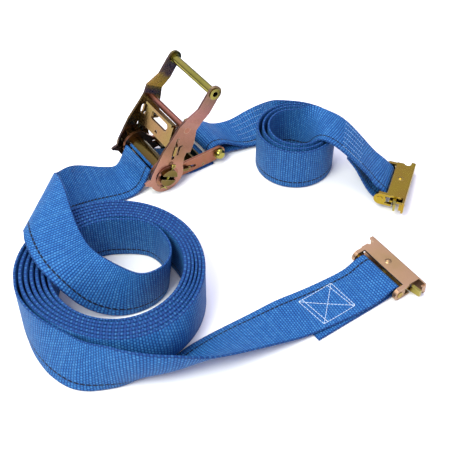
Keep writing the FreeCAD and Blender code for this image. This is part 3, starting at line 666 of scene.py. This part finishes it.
def spot(strap, x, y, lo, hi):
    """Along and across of a plan position on a stretch of strap, mm."""
    pick = np.where((strap.s >= lo) & (strap.s <= hi))[0]
    rel = np.array([x, y]) - strap.c[pick, :2]
    best = np.abs((rel * strap.t[pick, :2]).sum(1)).argmin()
    return (float(strap.s[pick[best]]), float(rel[best] @ strap.w[pick[best], :2]))


def boxed_cross(strap, lo, hi):
    """Sewn box with doubled ends and a cross, as runs on a stretch of the strap."""
    (x0, x1), (y0, y1) = BOX_X, BOX_Y
    corner = [spot(strap, x, y, lo, hi) for x, y in ((x0, y0), (x1, y0), (x1, y1), (x0, y1))]
    ends = (x0 + BOX_DOUBLED, x1 - BOX_DOUBLED)
    inner = [[spot(strap, x, y, lo, hi) for y in (y0, y1)] for x in ends]
    return [corner + corner[:1], [corner[0], corner[2]], [corner[1], corner[3]]] + inner


# ---- build ----
web = webbing()
thread = thread_material("pale_thread", (0.40, 0.52, 0.68), (0.66, 0.76, 0.88))
blue_thread = thread_material("blue_thread", (0.12, 0.26, 0.50), (0.32, 0.50, 0.74))
pink = plating("zinc_pink_plating", PINK, 0.33)
near_handle = plating("zinc_near_handle_plating_and_painted_shade", PINK, 0.30, bands=NEAR_BANDS)
copper = plating("zinc_copper_plating", COPPER, 0.32)
pawl_gold = plating("zinc_pawl_plating", PAWL_GOLD, 0.26, 26.0)
pale_pink = plating("zinc_pale_pink_plating", PALE_PINK, 0.40)
dark_gold = plating("zinc_dark_gold_plating_and_painted_shade", DARK_GOLD, 0.26, 30.0, (0.4, 0.6, 1.6), FAR_BANDS)
olive = plating("zinc_olive_plating", OLIVE, 0.20)
green_gold = plating("zinc_green_gold_plating", GREEN_GOLD, 0.18)
yellow = plating("zinc_yellow_plating", YELLOW, 0.24)
steel = plating("spring_steel_wire", STEEL, 0.30)

long_strap = Strap(long_route(), front_cup, LONG_RELAXED, coil_thickness)
short_strap = Strap(short_route(), None, SHORT_RELAXED)
tail = Strap(tail_route())
long_piece = strap_mesh("long_strap", long_strap, web)
short_piece = strap_mesh("short_strap", short_strap, web)
tail_piece = strap_mesh("long_strap_loose_end", tail, web)

front_from = FEED_LENGTH + math.pi * (LONG_COIL.r0 + LONG_COIL.r1) * LONG_COIL.turns
box_runs = boxed_cross(long_strap, front_from + BOX_SEARCH[0], front_from + BOX_SEARCH[1])
sewn_box = stitches("long_strap_sewn_box", long_strap, box_runs, thread, -1)
lead_rows = [[(LEAD_SEWN[0] + 1.3 * (row % 2), -19 + row * ROW_PITCH),
              (LEAD_SEWN[1] - 1.7 * (row % 3), -19 + row * ROW_PITCH + 0.6)] for row in range(ROWS)]
sewn_lead = stitches("short_strap_sewn_rows", short_strap, lead_rows, blue_thread, 1,
                     ROW_PITCH_ALONG, ROW_THREAD_R)
ramp_rows = [[(RAMP_SEWN[0], -18.5 + row * ROW_PITCH),
              (RAMP_SEWN[1] - 1.5 * (row % 2), -18.5 + row * ROW_PITCH)] for row in range(ROWS)]
sewn_ramp = stitches("short_strap_sewn_end", short_strap, ramp_rows, blue_thread, 1,
                     ROW_PITCH_ALONG, ROW_THREAD_R)
for piece in (sewn_box, sewn_lead, sewn_ramp):
    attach(piece, "frame")

slot_angle = math.radians(SLOT_TILT)
reach = Vector((math.cos(slot_angle), 0, math.sin(slot_angle))) * SLOT_HALF
core_route = [(SPINDLE_AXIS - reach + reach * (i / 5), Vector((0, WEB_W, 0))) for i in range(11)]
core_piece = strap_mesh("long_strap_in_slot", Strap(core_route), web)

for piece, body, nodes in (
        (long_piece, "frame", ("long_strap_feed", "long_strap_coil", "long_strap_front")),
        (short_piece, "frame", ("short_strap_lead", "short_strap_coil", "short_strap_end")),
        (tail_piece, "frame", ("long_strap_tail",)),
        (core_piece, "spindle", ("long_strap_in_spindle",))):
    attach(piece, body)
    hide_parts(*nodes)

# each CAD node's material and edge rounding in mm
finishes = {
    "frame_plate_left": (copper, 0.3), "frame_plate_right": (copper, 0.3),
    "handle_plate_left": (dark_gold, 0.3), "handle_plate_right": (near_handle, 0.3),
    "handle_pawl": (pawl_gold, 0.2), "frame_pawl": (olive, 0.2), "frame_spring_rest": (olive, 0.2),
    "frame_bolt": (green_gold, 0.3), "frame_bolt_nut": (green_gold, 0.3), "frame_bolt_sleeve": (olive, 0.2),
    "spindle_bar_upper": (olive, 0.25), "spindle_bar_lower": (olive, 0.25),
    "ratchet_wheel_left": (olive, 0.2), "ratchet_wheel_right": (olive, 0.2),
    "spindle_cotter_pins": (green_gold, 0.0), "spindle_washers": (pink, 0.1),
    "handle_grip": (green_gold, 0.3), "handle_crossbar": (pink, 0.2),
    "long_strap_fitting": (pale_pink, 0.3), "long_strap_fitting_latch": (green_gold, 0.15),
    "long_strap_fitting_latch_rivet": (pale_pink, 0.2), "long_strap_fitting_strap_bar": (yellow, 0.2),
    "short_strap_fitting": (yellow, 0.3), "short_strap_fitting_latch": (green_gold, 0.15),
    "short_strap_fitting_latch_rivet": (yellow, 0.2), "short_strap_fitting_strap_bar": (yellow, 0.2),
    "handle_pawl_springs": (steel, 0.0), "frame_pawl_spring": (steel, 0.0),
    "long_strap_fitting_latch_spring": (steel, 0.0), "short_strap_fitting_latch_spring": (steel, 0.0),
}
for node, (material, edge) in finishes.items():
    dress(node, material, edge)

# ---- stage, light and camera, in metres ----
FLOOR_HALF = 4.0
FLOOR_DROP = 0.0003         # keeps the floor off the faces that rest on it
SKY_LOW = (0.02, (0.06, 0.06, 0.08))                # height on the sky and its colour there
SKY_HIGH = (0.55, (1.02, 1.00, 1.28))
plane = bpy.data.meshes.new("floor")
corners = [(x * FLOOR_HALF, y * FLOOR_HALF, 0) for x, y in ((-1, -1), (1, -1), (1, 1), (-1, 1))]
plane.from_pydata(corners, [], [(0, 1, 2, 3)])
floor = bpy.data.objects.new("floor", plane)
floor.location = (0, 0, -FLOOR_DROP)
bpy.context.scene.collection.objects.link(floor)
plane.materials.append(floor_material())

world = bpy.data.worlds.new("studio")
bpy.context.scene.world = world
world.use_nodes = True
sky = world.node_tree
direction = sky.nodes.new("ShaderNodeTexCoord")
heights = sky.nodes.new("ShaderNodeSeparateXYZ")
shade = sky.nodes.new("ShaderNodeValToRGB")
sky.links.new(direction.outputs["Generated"], heights.inputs[0])
sky.links.new(heights.outputs[2], shade.inputs[0])
sky.links.new(shade.outputs[0], sky.nodes["Background"].inputs[0])
for stop, (height, colour) in zip(shade.color_ramp.elements, (SKY_LOW, SKY_HIGH)):
    stop.position = height
    stop.color = (*colour, 1)
sky.nodes["Background"].inputs[1].default_value = 1.0


def area_light(name, place, target, size, power, colour):
    """Round area light at place, turned towards target, metres."""
    data = bpy.data.lights.new(name, "AREA")
    data.shape = "DISK"
    data.size = size
    data.energy = power
    data.color = colour
    obj = bpy.data.objects.new(name, data)
    obj.location = place
    obj.rotation_euler = (Vector(target) - Vector(place)).to_track_quat("-Z", "Y").to_euler()
    bpy.context.scene.collection.objects.link(obj)


area_light("key", (-0.9, -0.2, 1.3), (0, 0, 0), 0.8, 24, (0.97, 1.0, 0.86))
area_light("top", (0.2, 0.5, 1.6), (0, 0, 0), 1.2, 12, (0.97, 0.98, 1.0))

bpy.context.scene.view_settings.view_transform = "Standard"

CAMERA_AT = (-0.3362, -0.4805, 0.6319)
CAMERA_TO = (0.0091, 0.0153, 0.0)
CAMERA_LENS = 68.3          # mm, on a sensor 36 mm wide
camera = bpy.data.objects.new("camera", bpy.data.cameras.new("camera"))
camera.data.lens = CAMERA_LENS
camera.data.sensor_width = 36.0
camera.data.clip_start = 0.01
camera.location = CAMERA_AT
camera.rotation_euler = (Vector(CAMERA_TO) - Vector(CAMERA_AT)).to_track_quat("-Z", "Y").to_euler()
bpy.context.scene.collection.objects.link(camera)
bpy.context.scene.camera = camera
